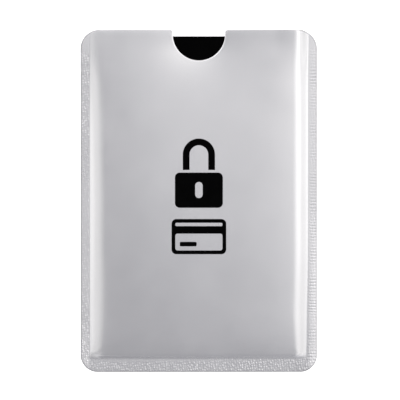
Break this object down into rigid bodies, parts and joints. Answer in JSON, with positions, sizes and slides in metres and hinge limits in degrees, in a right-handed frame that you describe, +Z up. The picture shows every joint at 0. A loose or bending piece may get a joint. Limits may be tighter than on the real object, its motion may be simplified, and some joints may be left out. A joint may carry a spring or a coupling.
{
  "type": "card sleeve",
  "caption": "Flat foil-laminate pouch for a bank-size card, heat-sealed at the sides and bottom and open at the top, with a half-round thumb notch; a plain black card slides out of the mouth.",
  "frame": {"origin": "middle of the sleeve's plan, on the plane that its back rests on", "axes": "+Z up through the thickness, out of the printed front; +Y along the length, towards the open mouth; +X to the right as the print is read"},
  "size_m": [0.0632, 0.0914, 0.0014],
  "materials": {
    "silver_film": "satin silver metallised polyester film, finely embossed on the seal bands",
    "foil": "bright rolled aluminium foil",
    "sealing_film": "milky polyethylene sealing film",
    "weld": "sealing film fused solid",
    "ink": "black screen ink",
    "card_overlay": "satin black card plastic",
    "card_core": "black card plastic, punched edge",
    "inlay": "dark carrier sheet",
    "antenna": "enamelled copper wire",
    "chip": "moulded epoxy chip module"
  },
  "bodies": {
    "sleeve": {"front_outer_film": "silver_film", "front_foil": "foil", "front_inner_film": "sealing_film", "back_inner_film": "sealing_film", "back_foil": "foil", "back_outer_film": "silver_film", "left_seal": "weld", "right_seal": "weld", "bottom_seal": "weld", "front_print": "ink"},
    "card": {"card_front_overlay": "card_overlay", "card_front_core": "card_core", "card_inlay": "inlay", "card_antenna": "antenna", "card_chip": "chip", "card_back_core": "card_core", "card_back_overlay": "card_overlay"}
  },
  "joints": [
    {"name": "card_slide", "type": "slide", "parent": "sleeve", "child": "card", "axis": [0, 1, 0], "range_m": [0, 0.092]}
  ]
}
